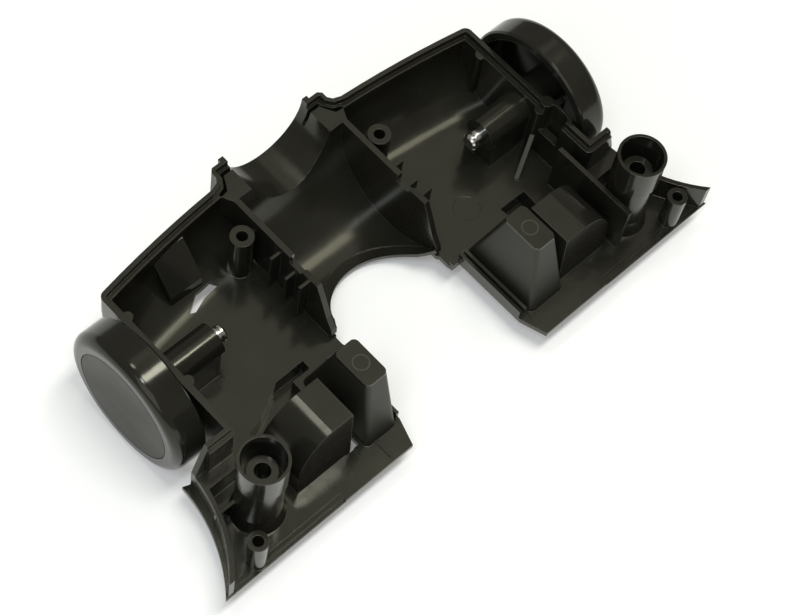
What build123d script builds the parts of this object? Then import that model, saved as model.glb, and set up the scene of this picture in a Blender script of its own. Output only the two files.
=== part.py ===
from build123d import *
import math
import os

# Lower half shell of a floor head: one black moulding that carries two wheels.
# Millimetres. +X to the right, +Y to the back (neck), +Z up out of the open side.
# Written with the front edge at y = 0 and the floor's top face at z = 0, then seated
# so that the origin is under the middle of the whole part at wheel contact height.

os.makedirs("parts", exist_ok=True)

# ---- overall ----
depth = 106.0
tip_x = 107.6
floor_t = 2.0
rim_z = 25.0
ledge_z = 22.7
wall_t = 3.0
lip_t = 1.5

# ---- wheels and axles ----
axle_y = 63.0
axle_z = 14.4
pin_r = 3.0
bore_r = pin_r + 0.05
pin_end_x = 53.6
pin_edge = 0.6
pin_groove_x = 55.0
pin_groove_w = 0.9
boss_r = 5.85
boss_end_x = 58.2
block_end_x = 59.8
spacer_x = 80.4
axle_play = 0.7
wheel_r = 25.5
wheel_in_x = 82.0
wheel_out_x = 93.4
wheel_round = 3.6
wheel_edge = 0.6
rim_in_r = wheel_r - 3.1
web_t = 2.4
hub_r = 7.0
hub_in_x = spacer_x + axle_play + 0.3
cap_r = wheel_r - 5.9
cap_seat = 0.6
cap_gap = 0.15
pin_stop_x = 90.0

# ---- box behind the front plates ----
side_x = 79.0
arch_y = 34.5
arch_end_x = 87.0
arch_round = 2.2
back_mid_y = 99.65
back_r = 433.0
tub_in_x = 20.0
tub_front_y = 58.0
belly_r = 17.0
corner_r = 2.5
pilaster_r = 1.8
pilaster_y = 82.3
pilaster_front_y = 54.2
shelf_z = 10.0
shelf_y = 27.2
shelf_x = 93.0
slope_x = 91.5
slope_z = 11.0

# ---- trough and neck ----
divider_x = 22.3
divider_t = 2.0
trough_y = 66.0
trough_z = 19.0
trough_r = 26.0
trough_t = 2.0
notch_r = 20.3
notch_y = 40.2
notch_lip = 3.9
divider_top_z = ledge_z
divider_step_y = 65.8
divider_mid_y = 60.5
divider_mid_z = 19.4
divider_low_z = 21.0
divider_front_y = 53.2
divider_foot_y = 43.5
divider_end_y = 95.0
lip_step = 0.5
stub_x = 28.6
stub_t = 1.0
stubs = ((69.4, 21.0), (62.2, 18.2), (56.0, 21.0))
neck_r = 17.0
neck_t = 2.0
neck_y = 88.0
neck_void_y = 69.0
ear_x = 23.8
ear_y = 99.8
ear_front_y = 92.0
ear_root_x = 27.6
ear_lip = 1.3
ear_ledge = 0.9
pad_y = 90.9
ear_low_z = 12.0
groove_z = 16.0

# ---- front plates ----
plate_in_x = 27.0
plate_cut_x = 30.1
plate_cut_y = 9.4
plate_back_y = 37.2
plate_end_x = 23.4
foot_r = 58.65
foot_cx = 152.1
foot_cy = 37.9
foot_mid_y = 13.6
foot_back_y = 36.0
foot_ledge = 2.2
tip_ledge = 0.75
sweep_t = 1.6
sweep_z = 10.0
sweep_in_x = 85.0
sweep_y = 0.3
step_w = 1.3
step_h = 0.8
step_x = 58.5
bead_y = 2.4
bead_w = 0.6
bead_h = 0.3
rail_t = 1.1
rail_gap = 1.3
rail_z = 3.4
rail_y0 = 10.2
rail_y1 = 38.4
rail_foot_y = 39.4
rail_foot_z = 1.4

# ---- tower ----
tower_z = 32.8
tower_y_top = (14.2, 29.2)
tower_y_foot = (8.2, 39.4)
tower_left_top = (-40.6, -32.0)
tower_left_foot = (-42.0, -28.8)
tower_right_top = (32.0, 40.6)
tower_right_foot = (31.2, 46.6)
tower_wall = 2.0
tower_round = 1.8

# ---- cable tunnel next to the tower ----
tunnel_x0 = 46.4
tunnel_flat_x = 55.0
tunnel_x1 = 68.2
tunnel_z = 24.0
tunnel_side_z = 7.5
tunnel_foot_y = 11.3
tunnel_y0 = 12.9
tunnel_y1 = 29.2
tunnel_t = 1.7

# ---- screw posts ----
cup_x = 80.8
cup_y = 15.8
cup_z = 37.0
cup_r = 8.1
cup_wall = 1.0
cup_low_z = 25.0
cup_neck_r = 7.6
cup_base_r = 8.9
cup_base_z = 6.0
cup_tube_r = 4.9
cup_tube_z = 29.0
cup_floor_z = 22.0
cup_hole_r = 2.6
pocket_z = -7.6
pocket_wall = 1.6
nose_x = 92.1
nose_y = 3.9
nose_z = 14.7
nose_r = 3.4
nose_hole_r = 1.8
rear_x = 29.7
rear_y = 82.0
rear_z = 20.4
rear_r = 4.0
rear_hole_r = 1.9
rear_web_t = 1.4
pilot_depth = 12.0
stay_y = 19.4
stay_t = 1.2
stay_z = 8.0
stay_end_x = 94.3

# ---- left side only ----
catch_x = -43.6
catch_w = 12.8
catch_side = ((84.4, 1.0), (84.4, 7.0), (94.0, 19.0), (97.5, 20.0), (97.5, 16.0), (90.0, 6.0))
gap_x = -42.8
gap_y = 19.6
nick_y = 7.8
nick_w = 2.0
nick_h = 1.2
plate_rib_x = -38.4
plate_rib_t = 0.8
plate_rib_z = 0.5

# ---- right side only ----
rib_x = 70.4
rib_t = 1.6
rib_z = 21.5
rib_y0 = 7.6
rib_y1 = 39.8
column_y = 54.0
column_r = 2.2
gusset_x = 63.2
gusset_y = 47.6
gusset_z = 12.0
bulge_w = 1.8
bulge_l = 10.6
bulge_t = 1.0
bulge_z = 12.0
lug_w = 3.2
lug_h = 6.0
mark_x = 42.7
mark_y = 50.3
mark_r = 4.6
mark_d = 0.25


def block(x0, x1, y0, y1, z0, z1):
    size = Box(x1 - x0, y1 - y0, z1 - z0)
    return Pos((x0 + x1) / 2, (y0 + y1) / 2, (z0 + z1) / 2) * size


def post(x, y, z0, z1, r, r_top=None):
    high = z1 - z0
    if r_top is None:
        return Pos(x, y, z0 + high / 2) * Cylinder(r, high)
    return Pos(x, y, z0 + high / 2) * Cone(r, r_top, high)


def rod(x0, x1, y, z, r):
    return Pos((x0 + x1) / 2, y, z) * Rot(0, 90, 0) * Cylinder(r, x1 - x0)


def slab(points, z0, z1):
    face = make_face(Polyline(*points, close=True))
    return extrude(Pos(0, 0, z0) * face, z1 - z0)


def side_slab(points, x0, x1):
    face = Plane.YZ.offset(x0) * make_face(Polyline(*points, close=True))
    return extrude(face, x1 - x0, dir=(1, 0, 0))


def taper(foot, top, z0, z1, bend=0):
    low = Pos((foot[0] + foot[1]) / 2, (foot[2] + foot[3]) / 2, z0)
    high = Pos((top[0] + top[1]) / 2, (top[2] + top[3]) / 2, z1)
    face_low = Rectangle(foot[1] - foot[0], foot[3] - foot[2])
    face_high = Rectangle(top[1] - top[0], top[3] - top[2])
    if bend > 0:
        face_low = fillet(face_low.vertices(), bend)
        face_high = fillet(face_high.vertices(), bend)
    return loft([low * face_low, high * face_high])


def shrink(box, t):
    return (box[0] + t, box[1] - t, box[2] + t, box[3] - t)


def both(shape):
    return shape + mirror(shape, about=Plane.YZ)


def back_y(x, inset=0.0):
    r = back_r - inset
    return back_mid_y - back_r + math.sqrt(r * r - x * x)


def tub(x0, x1, inset, y0, z0, z1, belly, corner):
    mid = (x0 + x1) / 2
    edge = ThreePointArc((x1, back_y(x1, inset)), (mid, back_y(mid, inset)), (x0, back_y(x0, inset)))
    rest = Polyline((x0, back_y(x0, inset)), (x0, y0), (x1, y0), (x1, back_y(x1, inset)))
    body = extrude(Pos(0, 0, z0) * make_face([edge, rest]), z1 - z0)
    if corner > 0:
        upright = body.edges().filter_by(Axis.Z).sort_by(lambda e: e.center().X + e.center().Y)[-1]
        body = fillet(upright, corner)
    if belly > 0:
        low = body.edges().group_by(Axis.Z)[0].sort_by(Axis.Y)
        arc = [e for e in low if e.length > 30 and e.center().Y > back_y(x1, inset) - 1]
        body = fillet(arc, belly)
    return body


# ---- floor and front plate of the right half ----
foot_end = foot_cx - math.sqrt(foot_r ** 2 - foot_cy ** 2)
foot_mid = foot_cx - math.sqrt(foot_r ** 2 - (foot_cy - foot_mid_y) ** 2)
foot_back = foot_cx - math.sqrt(foot_r ** 2 - (foot_cy - foot_back_y) ** 2)
sweep_arc = ThreePointArc((foot_back, foot_back_y), (foot_mid, foot_mid_y), (foot_end, 0))
outline = Polyline(
    (foot_end, 0),
    (plate_cut_x, 0),
    (plate_in_x, plate_cut_y),
    (plate_in_x, plate_back_y),
    (plate_end_x, plate_back_y + 0.4),
    (22.5, 41.8),
    (divider_x, 44.0),
    (divider_x, 76.0),
    (side_x, 76.0),
    (side_x, arch_y),
    (foot_back - 4, arch_y),
    (foot_back, foot_back_y),
)
plate = extrude(Pos(0, 0, -floor_t) * make_face([sweep_arc, outline]), floor_t)
plate -= block(step_x, tip_x + 1, -1, step_w, -step_h, 1)
plate -= block(step_x, tip_x - 8, bead_y, bead_y + bead_w, -bead_h, 1)

# ---- concave end wall and the shelf behind it ----
# The wall's own arc stands foot_ledge in from the floor's edge at the back and tip_ledge at the tip.
ring_x = foot_cx - foot_r - foot_ledge
ring_run = foot_end - tip_ledge - ring_x
ring_r = (ring_run ** 2 + foot_cy ** 2) / (2 * ring_run)
ring_cx = ring_x + ring_r
sweep = post(ring_cx, foot_cy, -floor_t, sweep_z, ring_r + sweep_t)
sweep -= post(ring_cx, foot_cy, -floor_t - 1, sweep_z + 1, ring_r)
sweep &= block(sweep_in_x, tip_x, sweep_y, arch_y, -floor_t, sweep_z)
shelf = block(side_x - 2, shelf_x, shelf_y, arch_y, -floor_t, shelf_z)
shelf -= post(ring_cx, foot_cy, -floor_t - 1, shelf_z + 1, ring_r)

# ---- box: back wall, side wall, wheel arch wall ----
outer = tub(tub_in_x, side_x, 0, tub_front_y, -floor_t, rim_z, belly_r + 2, 0)
inner = tub(divider_x + divider_t, side_x - wall_t, wall_t, tub_front_y - 8, 0, rim_z + 5, belly_r, 0)
rebate = tub(divider_x + divider_t, side_x - lip_t, lip_t, arch_y - 6.5, ledge_z, rim_z + 5, 0, 1.0)
upright = [e for e in outer.edges().filter_by(Axis.Z) if e.center().X > boss_end_x]
upright = [e for e in upright if e.center().Y > rear_y]
outer = fillet(upright, corner_r)
box = outer - inner
side = block(side_x - wall_t, side_x, arch_y - wall_t, tub_front_y + 1, -floor_t, rim_z)
arch = block(side_x - wall_t, arch_end_x, arch_y - wall_t, arch_y, -floor_t, rim_z)
slope = Plane.XZ.offset(-arch_y) * make_face(
    Polyline(
        (arch_end_x - 0.1, -floor_t),
        (slope_x, -floor_t),
        (slope_x, slope_z),
        (arch_end_x - 0.1, rim_z),
        close=True,
    )
)
walls = side + arch
bend = [e for e in walls.edges().filter_by(Axis.Z) if abs(e.center().X - side_x + wall_t) < 0.1]
bend = [e for e in bend if e.center().Y < arch_y]
walls = fillet(bend, arch_round)
walls += extrude(slope, lip_t + 0.4, dir=(0, -1, 0))
box += walls
box -= rebate
box -= block(boss_end_x, arch_end_x, shelf_y - 7, arch_y - lip_t, ledge_z, rim_z + 5)
box += post(side_x - wall_t, pilaster_y, 4, ledge_z, pilaster_r)
box += post(side_x - wall_t, pilaster_front_y, 0, ledge_z, pilaster_r)

# ---- axle boss, its foot block and the spacer next to the wheel ----
boss = rod(boss_end_x, side_x - 1, axle_y, axle_z, boss_r)
boss += rod(side_x - 1, spacer_x, axle_y, axle_z, boss_r)
boss += block(block_end_x, side_x - 1, axle_y - boss_r, axle_y + boss_r, -1, axle_z)

# ---- rear screw boss with its web to the divider ----
rear = post(rear_x, rear_y, -1, rear_z, rear_r)
rear += block(divider_x + 1, rear_x, rear_y - rear_web_t / 2, rear_y + rear_web_t / 2, 0, rear_z - 2)

# ---- short ribs on the outer face of the divider ----
divider_ribs = []
for stub_y, stub_z in stubs:
    divider_ribs.append(block(divider_x + 1, stub_x, stub_y, stub_y + stub_t, 4, stub_z))

# ---- tower and tunnel ----
left_foot = tower_left_foot + tower_y_foot
left_top = tower_left_top + tower_y_top
right_foot = tower_right_foot + tower_y_foot
right_top = tower_right_top + tower_y_top
towers = taper(left_foot, left_top, -floor_t, tower_z, tower_round)
towers += taper(right_foot, right_top, -floor_t, tower_z, tower_round)
tower_voids = []
for foot, top in ((left_foot, left_top), (right_foot, right_top)):
    low = -floor_t - 0.1
    tower_voids.append(taper(shrink(foot, tower_wall), shrink(top, tower_wall), low, tower_z - tower_wall))


def tunnel_body(inset, y0, y1, z0):
    x0 = tunnel_x0 + inset
    x1 = tunnel_x1 - inset
    top = tunnel_z - inset
    rise = top - tunnel_side_z
    run = x1 - tunnel_flat_x
    half_way = math.sqrt(0.5)
    bow = ThreePointArc(
        (tunnel_flat_x, top),
        (tunnel_flat_x + run * half_way, tunnel_side_z + rise * half_way),
        (x1, tunnel_side_z),
    )
    rest = Polyline((x1, tunnel_side_z), (x1, z0), (x0, z0), (x0, top), (tunnel_flat_x, top))
    face = Plane.XZ.offset(-y0) * make_face([bow, rest])
    return extrude(face, y1 - y0, dir=(0, 1, 0))


front = [
    (tunnel_foot_y - 5, -floor_t - 1),
    (tunnel_foot_y, -floor_t - 1),
    (tunnel_foot_y, 0),
    (tunnel_y0, tunnel_z),
    (tunnel_y0, tunnel_z + 1),
    (tunnel_foot_y - 5, tunnel_z + 1),
]
front_cut = side_slab(front, tunnel_x0 - 1, tunnel_x1 + 1)
tunnel = tunnel_body(0, tunnel_foot_y, tunnel_y1, -1) - front_cut
tunnel_void = tunnel_body(tunnel_t, tunnel_foot_y, tunnel_y1 - tunnel_t, -floor_t - 1)
tunnel_void -= Pos(0, tunnel_t, 0) * front_cut

# ---- screw posts of the front plate ----
cup = post(cup_x, cup_y, -1, cup_low_z, cup_neck_r)
cup += post(cup_x, cup_y, 0, cup_base_z, cup_base_r, cup_neck_r)
cup += post(cup_x, cup_y, cup_low_z, cup_z, cup_r)
cup_void = post(cup_x, cup_y, cup_floor_z, cup_z + 1, cup_r - cup_wall)
cup_void -= post(cup_x, cup_y, cup_floor_z, cup_tube_z, cup_tube_r)
cup_void += post(cup_x, cup_y, cup_tube_z - pilot_depth, cup_z, cup_hole_r)
nose = post(nose_x, nose_y, -1, nose_z, nose_r)
stay = block(cup_x, stay_end_x, stay_y, stay_y + stay_t, -1, stay_z)
rails = block(plate_in_x, plate_in_x + rail_t, rail_y0, rail_y1, -floor_t, rail_z)
rail_x = plate_in_x + rail_t + rail_gap
rails += block(rail_x, rail_x + rail_t, rail_y0, rail_y1, -1, rail_z - 0.6)
rails += block(plate_end_x, plate_in_x + 4, plate_back_y, rail_foot_y, -floor_t, rail_foot_z)

half = plate + sweep + shelf + box + boss + rear + tunnel + nose + rails + stay + divider_ribs + cup
half -= tunnel_void
half -= cup_void
half -= post(nose_x, nose_y, nose_z - pilot_depth, nose_z + 1, nose_hole_r)
half -= post(rear_x, rear_y, rear_z - pilot_depth, rear_z + 1, rear_hole_r)
half -= rod(pin_end_x, spacer_x + 1, axle_y, axle_z, bore_r)

# ---- trough between the dividers ----
end_x = divider_x + divider_t
low_z = trough_z - trough_r - trough_t
divider_line = (
    (divider_end_y, divider_top_z),
    (divider_step_y, divider_top_z),
    (divider_step_y, divider_mid_z),
    (divider_mid_y, divider_mid_z),
    (divider_mid_y - 0.6, divider_low_z),
    (divider_front_y, divider_low_z + 0.4),
)
profile = divider_line + (
    (divider_foot_y + 7.1, 16.0),
    (divider_foot_y + 3.8, 8.5),
    (divider_foot_y + 1.1, 4.2),
    (divider_foot_y, 0.5),
    (divider_foot_y, low_z - 1),
    (divider_end_y, low_z - 1),
)
trough = rod(-end_x, end_x, trough_y, trough_z, trough_r + trough_t)
trough += block(-end_x, end_x, trough_y, trough_y + trough_r + trough_t, trough_z, rim_z)
trough &= side_slab(profile, -end_x, end_x)
above_divider = divider_line + ((divider_front_y, rim_z + 5), (divider_end_y, rim_z + 5))
half -= side_slab(above_divider, divider_x - 5, end_x)

# ---- neck ----
neck_out = Pos(0, (neck_y + depth) / 2, rim_z) * Rot(90, 0, 0) * Cylinder(neck_r + neck_t, depth - neck_y)
neck_out &= block(-divider_x, divider_x, neck_y, depth, 0, rim_z)
ear_plan = (
    (neck_r - 4, ear_front_y),
    (end_x, ear_front_y),
    (ear_root_x, back_y(ear_root_x)),
    (ear_x + 1.1, ear_y),
    (ear_x, ear_y + 1.6),
    (ear_x, ear_y + 3.8),
    (ear_x - 1.2, ear_y + 5.0),
    (neck_r - 4, ear_y + 5.0),
)
ear = slab(ear_plan, ear_low_z, rim_z)
ear_in = (
    (neck_r - 5, pad_y - 3),
    (ear_root_x + 0.9, pad_y - 3),
    (ear_root_x + 0.9, back_y(ear_root_x) - lip_t),
    (ear_x + 0.5, ear_y - ear_lip),
    (ear_x - ear_lip, ear_y + 1.2),
    (ear_x - ear_lip, ear_y + 3.4),
    (ear_x - ear_lip - 0.6, ear_y + 5.0 - ear_lip),
    (neck_r - 5, ear_y + 5.0 - ear_lip),
)
ear_low = slab(ear_in, ledge_z, rim_z + 1)
groove_plan = (
    (neck_r - 5, ear_y + 5.0 - ear_lip - ear_ledge),
    (ear_x - ear_lip - 1.3, ear_y + 5.0 - ear_lip - ear_ledge),
    (ear_x - ear_lip - ear_ledge, ear_y + 0.9),
    (ear_x - 0.3, ear_y - 1.8),
    (ear_root_x - 1.0, ear_y - 3.0),
    (ear_root_x - 1.6, ear_y - 3.9),
    (ear_x - 0.4, ear_y - 3.5),
    (ear_x - 2.0, ear_y - 0.9),
    (ear_x - 3.2, ear_y + 1.5),
    (neck_r - 5, ear_y + 1.5),
)
groove = slab(groove_plan, groove_z, rim_z + 1)

middle = trough + neck_out + both(ear)
trough_void = rod(-divider_x, divider_x, trough_y, trough_z, trough_r)
trough_void += block(-divider_x, divider_x, trough_y - trough_r, trough_y + trough_r, trough_z, rim_z + 5)
neck_run = depth + 1 - neck_void_y
neck_void = Pos(0, neck_void_y + neck_run / 2, rim_z) * Rot(90, 0, 0) * Cylinder(neck_r, neck_run)
lip_shell = rod(-divider_x, divider_x, trough_y, trough_z, trough_r + lip_step)
lip_shell &= post(0, notch_y, low_z - 5, trough_z, notch_r + notch_lip)
notch = post(0, notch_y, low_z - 5, rim_z + 5, notch_r)
mouth = [(-18.6, 48.4), (18.6, 48.4), (23.0, 43.0), (23.0, 0), (-23.0, 0), (-23.0, 43.0)]
notch += slab(mouth, low_z - 5, rim_z + 5)

housing = both(half) + middle + towers
housing -= both(ear_low)
housing -= both(groove)
for void in tower_voids:
    housing -= void
housing -= trough_void
housing -= lip_shell
housing -= neck_void
housing -= notch

# ---- pockets in the floor behind the tunnels ----


def pocket(points):
    face = make_face(Polyline(*points, close=True))
    wide = offset(face, pocket_wall, kind=Kind.INTERSECTION)
    shell = extrude(Pos(0, 0, pocket_z - pocket_wall) * wide, -pocket_z)
    hollow = extrude(Pos(0, 0, pocket_z) * face, 1 - pocket_z)
    return shell, hollow


left_pocket = [
    (-48.3, 43.7),
    (-36.6, 43.9),
    (-36.8, 40.6),
    (-44.0, 40.6),
    (-44.0, 31.0),
    (-67.0, 31.0),
    (-66.0, 36.0),
    (-60.0, 37.5),
    (-55.0, 40.0),
]
right_pocket = [(51.2, 42.9), (62.2, 42.7), (61.8, 36.0), (52.0, 36.0)]
for points in (left_pocket, right_pocket):
    shell, hollow = pocket(points)
    housing += shell
    housing -= hollow

# ---- left side only: light slot, catch block, gap beside the tower, plate rib ----
slot = [(-53.2, 79.4), (-51.0, 78.6), (-45.6, 80.6), (-38.6, 81.4), (-40.6, 84.0), (-46.6, 83.4)]
housing -= slab(slot, -8, 6)
housing += side_slab(catch_side, catch_x - catch_w, catch_x)
housing -= block(-tunnel_x0, gap_x, tunnel_foot_y, gap_y, -floor_t - 1, 1)
housing -= block(-tunnel_x0 - nick_w, gap_x - nick_w, nick_y, tunnel_foot_y, -nick_h, 1)
housing += block(plate_rib_x, plate_rib_x + plate_rib_t, step_w, tower_y_foot[0] + 0.4, -1, plate_rib_z)

# ---- right side only: tall rib, gusset, column, bulge in the side wall, ejector mark ----
rib_box = block(rib_x, rib_x + rib_t, rib_y0, rib_y1, -1, rib_z)
gusset_run = math.hypot(side_x - wall_t - gusset_x, column_y - gusset_y)
gusset_turn = math.degrees(math.atan2(column_y - gusset_y, side_x - wall_t - gusset_x))
gusset_face = Plane.XZ * make_face(
    Polyline((0, -1), (gusset_run + 1, -1), (gusset_run + 1, gusset_z), (0, 0.6), close=True)
)
gusset = Rot(0, 0, gusset_turn) * extrude(gusset_face, rib_t / 2, both=True)
bulge_out = side_x + bulge_w
bulge_y0 = column_y - bulge_l
bulge = [
    (side_x, column_y),
    (bulge_out + 0.6, column_y - 1.0),
    (bulge_out, column_y - 3.2),
    (bulge_out, bulge_y0 + 2.2),
    (side_x + 0.6, bulge_y0),
    (side_x - 1, bulge_y0),
    (side_x - 1, bulge_y0 + 1.0),
    (side_x, bulge_y0 + 1.2),
    (bulge_out - bulge_t, bulge_y0 + 2.8),
    (bulge_out - bulge_t, column_y - 3.0),
    (side_x, column_y - 2.0),
]
housing -= block(side_x - wall_t - 0.1, side_x + 0.1, bulge_y0 + 1, column_y - 1, bulge_z, rim_z + 1)
housing += slab(bulge, bulge_z - 4, rim_z)
housing += post(side_x - 0.4, column_y, 0, rim_z + 0.4, column_r)
housing += block(bulge_out - 0.6, bulge_out + lug_w, column_y - 3.6, column_y - 1.4, rim_z - lug_h, rim_z)
housing += rib_box
housing += Pos(gusset_x, gusset_y, 0) * gusset
housing -= post(mark_x, mark_y, -mark_d, 1, mark_r)

# ---- wheels ----


def wheel_half():
    body = rod(wheel_in_x, wheel_out_x, axle_y, axle_z, wheel_r)
    outer_edge = body.edges().filter_by(GeomType.CIRCLE).sort_by(Axis.X)[-1]
    body = fillet(outer_edge, wheel_round)
    inner_edge = body.edges().filter_by(GeomType.CIRCLE).sort_by(Axis.X)[0]
    body = chamfer(inner_edge, wheel_edge)
    body -= rod(wheel_in_x - 1, wheel_out_x - web_t, axle_y, axle_z, rim_in_r)
    body += rod(hub_in_x, wheel_out_x - 1, axle_y, axle_z, hub_r)
    body -= rod(hub_in_x - 1, pin_stop_x, axle_y, axle_z, pin_r)
    body -= rod(wheel_out_x - cap_seat, wheel_out_x + 1, axle_y, axle_z, cap_r)
    return body


def axle_half():
    body = rod(pin_end_x, pin_stop_x, axle_y, axle_z, pin_r)
    tip = body.edges().filter_by(GeomType.CIRCLE).sort_by(Axis.X)[0]
    body = chamfer(tip, pin_edge)
    groove = rod(pin_groove_x, pin_groove_x + pin_groove_w, axle_y, axle_z, pin_r + 1)
    groove -= rod(pin_groove_x - 1, pin_groove_x + pin_groove_w + 1, axle_y, axle_z, pin_r - pin_edge)
    return body - groove


def cap_half():
    body = rod(wheel_out_x - cap_seat, wheel_out_x, axle_y, axle_z, cap_r - cap_gap)
    rim = body.edges().filter_by(GeomType.CIRCLE).sort_by(Axis.X)[-1]
    return chamfer(rim, 0.2)


# ---- seat everything on the shared origin and write it out ----
seat = Pos(0, -depth / 2, wheel_r - axle_z)
slide = Pos(-axle_play, 0, 0)
pieces = {
    "housing": housing,
    "wheel_right": slide * wheel_half(),
    "wheel_left": slide * mirror(wheel_half(), about=Plane.YZ),
    "wheel_face_right": slide * cap_half(),
    "wheel_face_left": slide * mirror(cap_half(), about=Plane.YZ),
    "axle_right": slide * axle_half(),
    "axle_left": slide * mirror(axle_half(), about=Plane.YZ),
}
for name, shape in pieces.items():
    solids = shape.solids()
    print(name, len(solids), round(sum(s.volume for s in solids), 1), shape.bounding_box())
    export_step(seat * shape, "parts/" + name + ".step")
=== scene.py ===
import math

import bpy
from mathutils import Matrix, Vector

# Looks of the floor head's lower housing. Metres, in the frame of the CAD.
# ---- marks on the shell, as places in the CAD's frame (x is taken without its sign) ----
tower_x, tower_half_x = 0.0376, 0.0091
tower_y, tower_half_y = -0.0292, 0.0157
tower_z, tower_half_z = 0.0275, 0.0157
ring_middle = (0.0363, -0.0313)
ring_r = 0.0026
ring_half_w = 0.00025
tower_top_z = 0.0439
top_reach = 0.0004

# ---- shared looks ----
warm_gloss = (1.0, 0.98, 0.84, 1)
# Lighter base colour laid along the edges: a painted highlight where the edge fillets catch the
# light.
painted_edge_highlight_colour = (0.08, 0.08, 0.066, 1)
ring_colour = (0.04, 0.04, 0.033, 1)
satin_roughness = 0.5

# ---- room ----
floor_half = 3.0
floor_colour = (0.9, 0.9, 0.9)
floor_glow = 0.18
sky_colour = (0.22, 0.215, 0.2, 1)
lamp_z = 1.35
warm = (1.0, 0.98, 0.82)
neutral = (1.0, 1.0, 0.93)

# ---- camera, solved from the photograph's perspective ----
lens_mm = 95.895
sensor_mm = 36.0
camera_place = (-0.26618, -0.20003, 0.60753)
camera_right = (0.721852, -0.683513, 0.108346)
camera_up = (0.571067, 0.676750, 0.464642)
camera_back = (-0.390912, -0.273530, 0.878846)

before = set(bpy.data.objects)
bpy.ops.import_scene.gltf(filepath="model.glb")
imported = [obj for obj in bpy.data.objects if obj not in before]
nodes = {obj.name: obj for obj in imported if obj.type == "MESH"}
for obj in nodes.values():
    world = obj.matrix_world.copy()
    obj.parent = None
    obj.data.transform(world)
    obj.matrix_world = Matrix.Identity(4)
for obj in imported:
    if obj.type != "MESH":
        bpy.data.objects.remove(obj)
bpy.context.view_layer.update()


# ---------------------------------------------------------------- node helpers
def new_material(name):
    mat = bpy.data.materials.new(name)
    mat.use_nodes = True
    tree = mat.node_tree
    return mat, tree, tree.nodes["Principled BSDF"]


def math_node(tree, operation, first, second=None, reach=None):
    """Maths on an output and either another output or a plain number."""
    made = tree.nodes.new("ShaderNodeMath")
    made.operation = operation
    tree.links.new(first, made.inputs[0])
    if isinstance(second, float):
        made.inputs[1].default_value = second
    elif second is not None:
        tree.links.new(second, made.inputs[1])
    if reach is not None:
        made.inputs[2].default_value = reach
    return made.outputs[0]


def spread(tree, value, source, target):
    """Value mapped from one (low, high) range onto another."""
    made = tree.nodes.new("ShaderNodeMapRange")
    made.inputs["From Min"].default_value = source[0]
    made.inputs["From Max"].default_value = source[1]
    made.inputs["To Min"].default_value = target[0]
    made.inputs["To Max"].default_value = target[1]
    tree.links.new(value, made.inputs["Value"])
    return made.outputs["Result"]


def clouds(tree, coords, scale, detail, target, source=(0.3, 0.7)):
    """Soft noise in object space, spread between two values."""
    noise = tree.nodes.new("ShaderNodeTexNoise")
    noise.inputs["Scale"].default_value = scale
    noise.inputs["Detail"].default_value = detail
    tree.links.new(coords, noise.inputs["Vector"])
    return spread(tree, noise.outputs["Fac"], source, target)


def mix_colour(tree, amount, first, second):
    """Mix of two colours, the first a colour or an output and the second a colour."""
    made = tree.nodes.new("ShaderNodeMix")
    made.data_type = "RGBA"
    if isinstance(first, tuple):
        made.inputs[6].default_value = first
    else:
        tree.links.new(first, made.inputs[6])
    made.inputs[7].default_value = second
    tree.links.new(amount, made.inputs[0])
    return made.outputs[2]


def near(tree, value, middle, reach):
    """1 where a value lies within reach of middle, otherwise 0."""
    return math_node(tree, "COMPARE", value, middle, reach)


def mirrored_x(tree, coords):
    """Object coordinates with x made positive, so one mask serves both sides."""
    split = tree.nodes.new("ShaderNodeSeparateXYZ")
    tree.links.new(coords, split.inputs[0])
    return math_node(tree, "ABSOLUTE", split.outputs[0]), split.outputs[1], split.outputs[2]


# ---------------------------------------------------------------- materials
def tower_sides(tree, coords):
    """1 on the two tall towers below their tops."""
    x, y, z = mirrored_x(tree, coords)
    across = near(tree, x, tower_x, tower_half_x)
    along = near(tree, y, tower_y, tower_half_y)
    plan = math_node(tree, "MULTIPLY", across, along)
    return math_node(tree, "MULTIPLY", plan, near(tree, z, tower_z, tower_half_z))


def tower_rings(tree, coords):
    """1 on a thin ring, an ejector mark, on the top of each tower."""
    x, y, z = mirrored_x(tree, coords)
    place = tree.nodes.new("ShaderNodeCombineXYZ")
    tree.links.new(x, place.inputs[0])
    tree.links.new(y, place.inputs[1])
    away = tree.nodes.new("ShaderNodeVectorMath")
    away.operation = "DISTANCE"
    away.inputs[1].default_value = (*ring_middle, 0)
    tree.links.new(place.outputs[0], away.inputs[0])
    ring = near(tree, away.outputs["Value"], ring_r, ring_half_w)
    return math_node(tree, "MULTIPLY", ring, near(tree, z, tower_top_z, top_reach))


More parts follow.
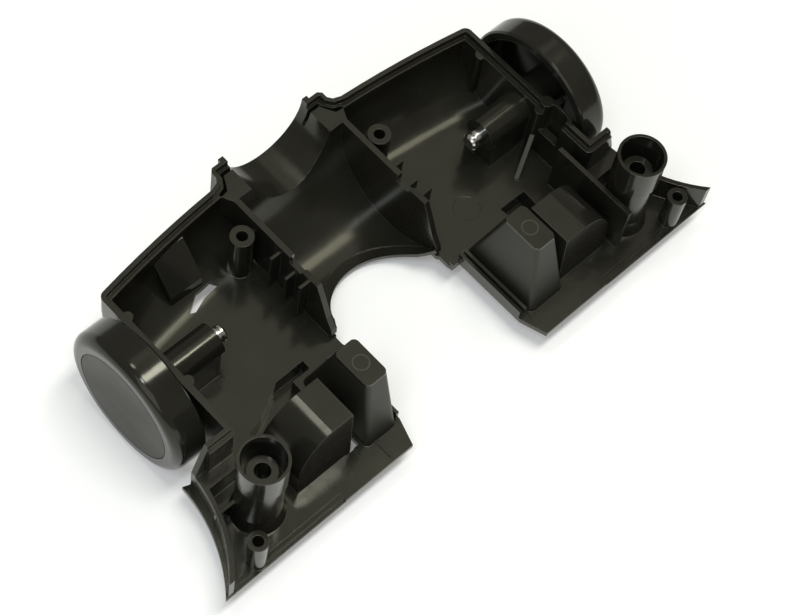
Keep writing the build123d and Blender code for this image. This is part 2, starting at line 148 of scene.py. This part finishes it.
def plastic(name, dark, light, roughness, level, towers=False):
    """Polished black moulding: cloudy tone and gloss, flow marks, soft edges, and a painted
    highlight that lightens the base colour along the edges.
    """
    mat, tree, shader = new_material(name)
    shader.inputs["IOR"].default_value = 1.5
    shader.inputs["Specular Tint"].default_value = warm_gloss
    shader.inputs["Specular IOR Level"].default_value = level
    coords = tree.nodes.new("ShaderNodeTexCoord").outputs["Object"]

    edge = tree.nodes.new("ShaderNodeBevel")
    edge.samples = 8
    edge.inputs["Radius"].default_value = 0.0002
    match = tree.nodes.new("ShaderNodeVectorMath")
    match.operation = "DOT_PRODUCT"
    surface = tree.nodes.new("ShaderNodeNewGeometry")
    tree.links.new(edge.outputs["Normal"], match.inputs[0])
    tree.links.new(surface.outputs["Normal"], match.inputs[1])
    # Edge mask, where the bevel normal turns away from the surface normal; it lightens the base
    # colour there as a painted highlight.
    edge_highlight_mask = spread(tree, match.outputs["Value"], (0.92, 0.65), (0.0, 1.0))

    tone = mix_colour(tree, clouds(tree, coords, 55.0, 5.0, (0.0, 1.0)), (*dark, 1), (*light, 1))
    colour = mix_colour(tree, edge_highlight_mask, tone, painted_edge_highlight_colour)
    gloss = clouds(tree, coords, 38.0, 3.0, roughness)
    if towers:
        colour = mix_colour(tree, tower_rings(tree, coords), colour, ring_colour)
        satin = tree.nodes.new("ShaderNodeMix")
        satin.inputs[3].default_value = satin_roughness
        tree.links.new(tower_sides(tree, coords), satin.inputs[0])
        tree.links.new(gloss, satin.inputs[2])
        gloss = satin.outputs[0]

    flow = tree.nodes.new("ShaderNodeBump")
    flow.inputs["Strength"].default_value = 0.25
    flow.inputs["Distance"].default_value = 0.00015
    tree.links.new(clouds(tree, coords, 90.0, 2.0, (0.0, 1.0)), flow.inputs["Height"])
    tree.links.new(edge.outputs["Normal"], flow.inputs["Normal"])

    tree.links.new(colour, shader.inputs["Base Color"])
    tree.links.new(gloss, shader.inputs["Roughness"])
    tree.links.new(flow.outputs["Normal"], shader.inputs["Normal"])
    return mat


def steel(name):
    mat, tree, shader = new_material(name)
    shader.inputs["Base Color"].default_value = (0.72, 0.72, 0.7, 1)
    shader.inputs["Metallic"].default_value = 1.0
    coords = tree.nodes.new("ShaderNodeTexCoord").outputs["Object"]
    gloss = clouds(tree, coords, 400.0, 2.0, (0.12, 0.24), (0.0, 1.0))
    tree.links.new(gloss, shader.inputs["Roughness"])
    return mat


shell = plastic(
    "shell_plastic", (0.0105, 0.01, 0.008), (0.0165, 0.016, 0.0125), (0.14, 0.2), 0.45, towers=True
)
wheel = plastic("wheel_plastic", (0.011, 0.0105, 0.0085), (0.017, 0.0165, 0.0135), (0.1, 0.17), 0.35)
# Wheel faces: a duller copy of the wheel plastic. Its low specular level darkens the table they
# mirror as painted shade, and its base colour is lifted for an olive cast.
face = plastic("face_plastic", (0.02, 0.0195, 0.014), (0.03, 0.029, 0.021), (0.28, 0.4), 0.12)
pin = steel("pin_steel")

for name, obj in nodes.items():
    if name == "housing":
        mat, slot = shell, "shell"
    elif name.startswith("axle"):
        mat, slot = pin, "pin"
    elif name.startswith("wheel_face"):
        mat, slot = face, "wheel"
    else:
        mat, slot = wheel, "wheel"
    obj.data.materials.clear()
    obj.data.materials.append(mat)


# ---------------------------------------------------------------- floor and sky
def pale(name, colour, glow):
    """Pale diffuse sheet lifted to white for the camera and in gloss and glass, shadow kept."""
    mat, tree, shader = new_material(name)
    tree.nodes.remove(shader)
    diffuse = tree.nodes.new("ShaderNodeBsdfDiffuse")
    diffuse.inputs["Color"].default_value = (*colour, 1)
    path = tree.nodes.new("ShaderNodeLightPath").outputs
    seen = math_node(tree, "MAXIMUM", path["Is Camera Ray"], path["Is Glossy Ray"])
    seen = math_node(tree, "MAXIMUM", seen, path["Is Transmission Ray"])
    light = tree.nodes.new("ShaderNodeEmission")
    light.inputs["Color"].default_value = (1, 1, 1, 1)
    tree.links.new(math_node(tree, "MULTIPLY", seen, glow), light.inputs["Strength"])
    both = tree.nodes.new("ShaderNodeAddShader")
    tree.links.new(diffuse.outputs[0], both.inputs[0])
    tree.links.new(light.outputs[0], both.inputs[1])
    tree.links.new(both.outputs[0], tree.nodes["Material Output"].inputs["Surface"])
    return mat


corners = [(x * floor_half, y * floor_half, 0) for x, y in ((-1, -1), (1, -1), (1, 1), (-1, 1))]
floor_mesh = bpy.data.meshes.new("floor")
floor_mesh.from_pydata(corners, [], [(0, 1, 2, 3)])
floor = bpy.data.objects.new("floor", floor_mesh)
bpy.context.scene.collection.objects.link(floor)
floor.data.materials.append(pale("floor_white", floor_colour, floor_glow))

world = bpy.data.worlds.new("studio")
world.use_nodes = True
bpy.context.scene.world = world
sky = world.node_tree.nodes["Background"]
sky.inputs["Color"].default_value = sky_colour
sky.inputs["Strength"].default_value = 1.0


# ---------------------------------------------------------------- lamps
def softbox(name, place, size_x, size_y, glow, colour, turn=0.0):
    """Flat lamp of a given brightness, hung level over the object and turned about Z."""
    data = bpy.data.lights.new(name, "AREA")
    data.shape = "RECTANGLE"
    data.size = size_x
    data.size_y = size_y
    data.energy = glow * math.pi * size_x * size_y
    data.color = colour
    lamp = bpy.data.objects.new(name, data)
    bpy.context.scene.collection.objects.link(lamp)
    lamp.location = place
    lamp.rotation_euler = (0, 0, math.radians(turn))
    return lamp


softbox("key", (0.1, -0.17, lamp_z), 0.6, 0.22, 19.0, neutral)
softbox("key_cool", (-0.61, -0.17, lamp_z), 0.44, 0.14, 22.0, (0.8, 0.9, 1.0))
softbox("strip", (0.58, 0.02, lamp_z), 0.34, 0.3, 4.4, warm)
softbox("halo", (0.53, 0.2, lamp_z), 0.46, 0.5, 0.5, warm)
softbox("panel", (0.62, 0.52, lamp_z), 0.75, 0.3, 0.55, warm, 12)
softbox("ridge", (-0.04, 0.36, lamp_z), 0.46, 0.16, 8.0, (0.97, 1.0, 0.93))
fill = softbox("fill_left", (-1.3, -0.5, 1.0), 1.2, 1.2, 1.2, (1.0, 0.99, 0.97))
fill.rotation_euler = (-Vector(fill.location)).to_track_quat("-Z", "Y").to_euler()

# ---------------------------------------------------------------- camera
cam_data = bpy.data.cameras.new("camera")
cam_data.sensor_fit = "HORIZONTAL"
cam_data.sensor_width = sensor_mm
cam_data.lens = lens_mm
cam = bpy.data.objects.new("camera", cam_data)
bpy.context.scene.collection.objects.link(cam)
rows = zip(camera_right, camera_up, camera_back, camera_place)
cam.matrix_world = Matrix([*rows, (0, 0, 0, 1)])
bpy.context.scene.camera = cam
bpy.context.scene.view_settings.view_transform = "Standard"
